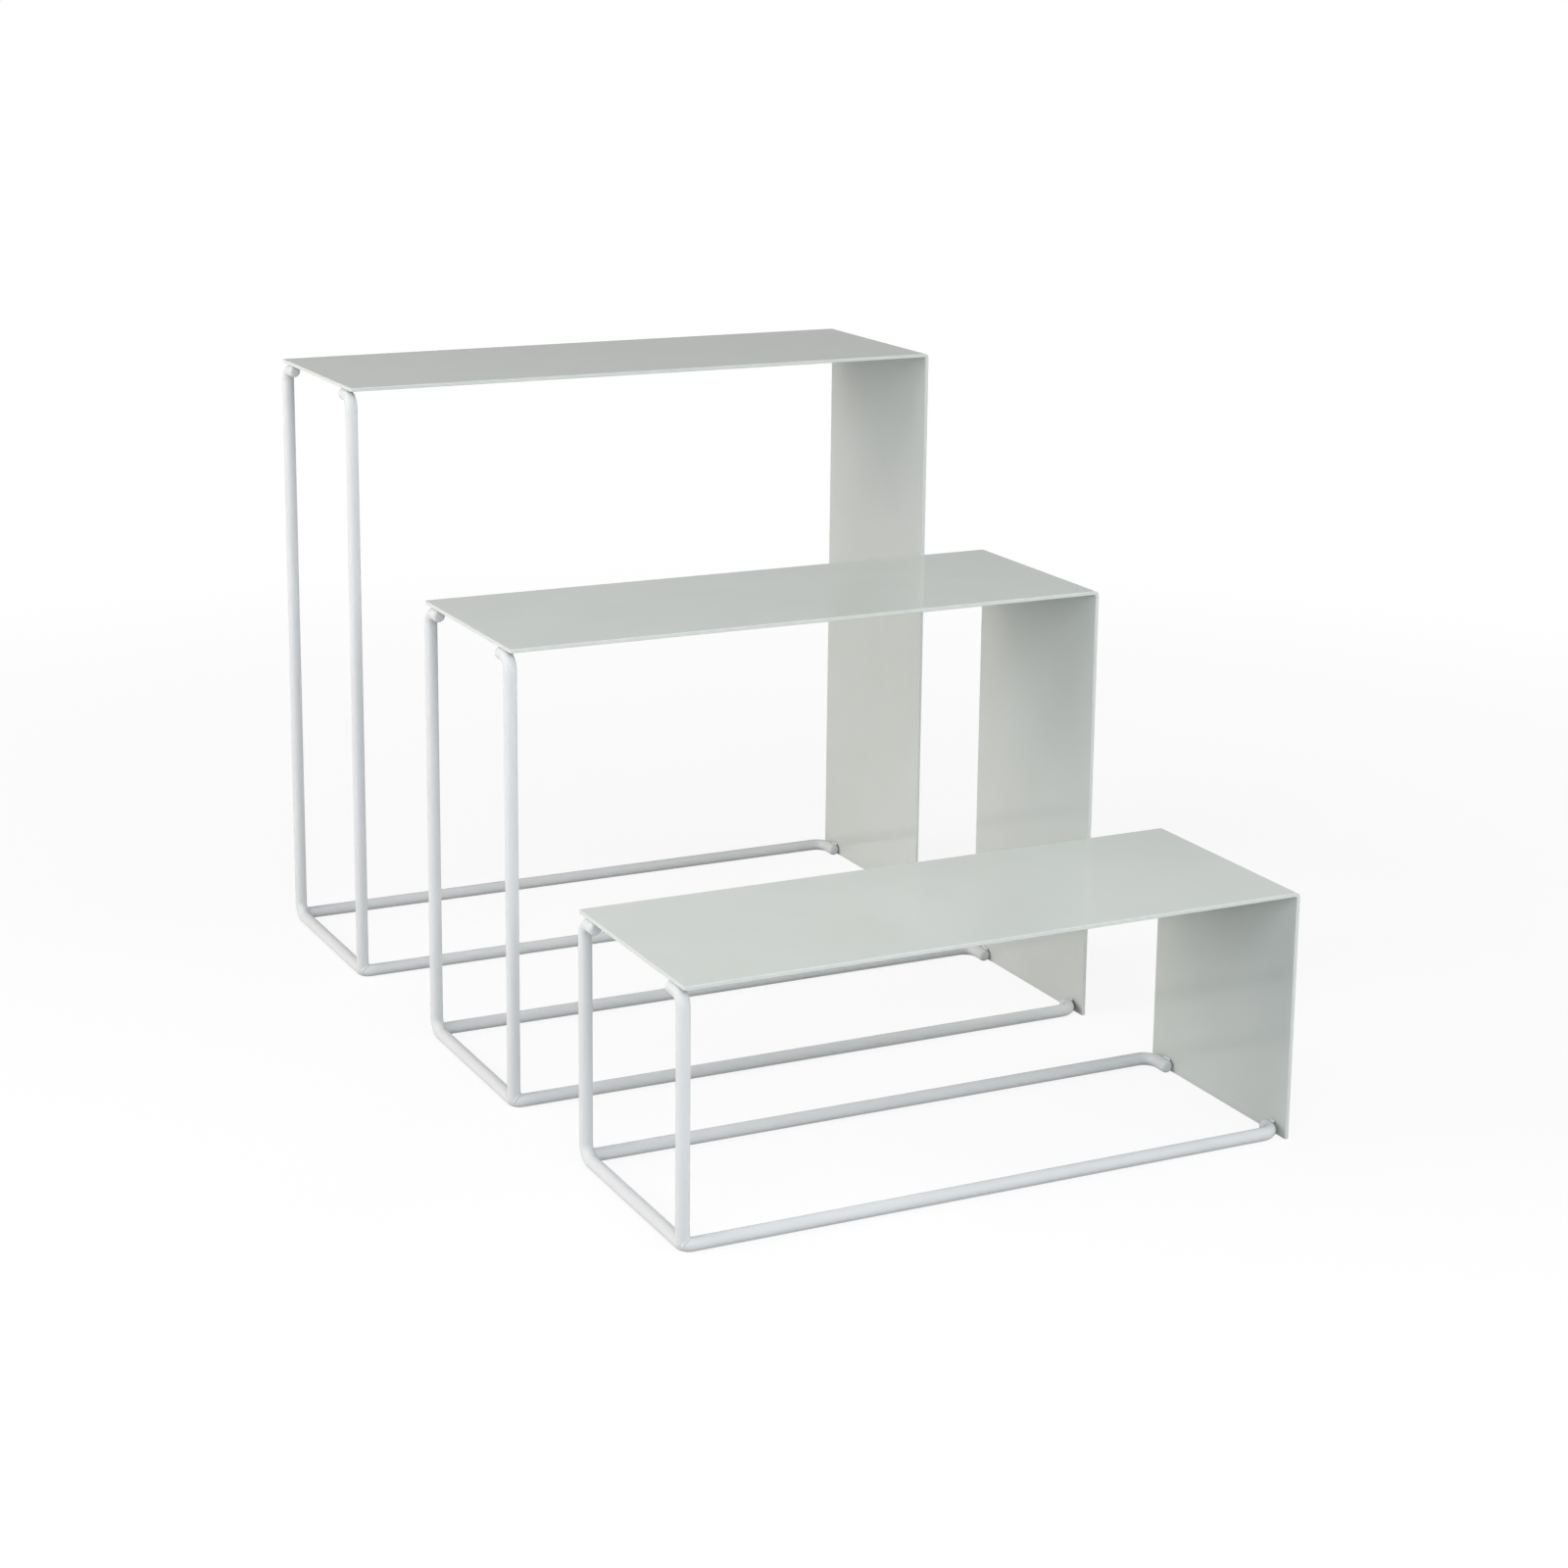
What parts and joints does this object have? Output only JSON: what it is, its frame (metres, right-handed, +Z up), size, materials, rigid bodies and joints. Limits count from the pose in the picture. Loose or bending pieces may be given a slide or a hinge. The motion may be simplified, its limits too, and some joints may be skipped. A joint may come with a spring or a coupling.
{
  "type": "tiered display table",
  "caption": "Stepped set of free-standing white steel display tables, each a folded sheet shelf and side on a bent round-bar frame.",
  "frame": {"origin": "on the floor, under the middle of the whole set's box", "axes": "+Z up, +X along the shelves towards the side panels, +Y from the short front table to the tall rear table"},
  "size_m": [0.532, 0.798, 0.5],
  "materials": {
    "sheet_powder_coat": "semi-gloss off-white powder coat, fine orange peel",
    "bar_powder_coat": "semi-gloss off-white powder coat on round bar",
    "weld_powder_coat": "the same powder coat over weld beads, slightly thicker and uneven"
  },
  "bodies": {
    "tall_table": {"tall_folded_panel": "sheet_powder_coat", "tall_frame_bar": "bar_powder_coat", "tall_front_leg": "bar_powder_coat", "tall_rear_rail": "bar_powder_coat", "tall_shelf_welds": "weld_powder_coat", "tall_panel_welds": "weld_powder_coat", "tall_corner_welds": "weld_powder_coat"},
    "medium_table": {"medium_folded_panel": "sheet_powder_coat", "medium_frame_bar": "bar_powder_coat", "medium_front_leg": "bar_powder_coat", "medium_rear_rail": "bar_powder_coat", "medium_shelf_welds": "weld_powder_coat", "medium_panel_welds": "weld_powder_coat", "medium_corner_welds": "weld_powder_coat"},
    "short_table": {"short_folded_panel": "sheet_powder_coat", "short_frame_bar": "bar_powder_coat", "short_front_leg": "bar_powder_coat", "short_rear_rail": "bar_powder_coat", "short_shelf_welds": "weld_powder_coat", "short_panel_welds": "weld_powder_coat", "short_corner_welds": "weld_powder_coat"}
  },
  "joints": [
    {"name": "medium_step_slide", "type": "slide", "parent": "tall_table", "child": "medium_table", "axis": [0, 1, 0], "range_m": [-0.15, 0.14]},
    {"name": "short_step_slide", "type": "slide", "parent": "medium_table", "child": "short_table", "axis": [0, 1, 0], "range_m": [-0.15, 0.1]}
  ]
}
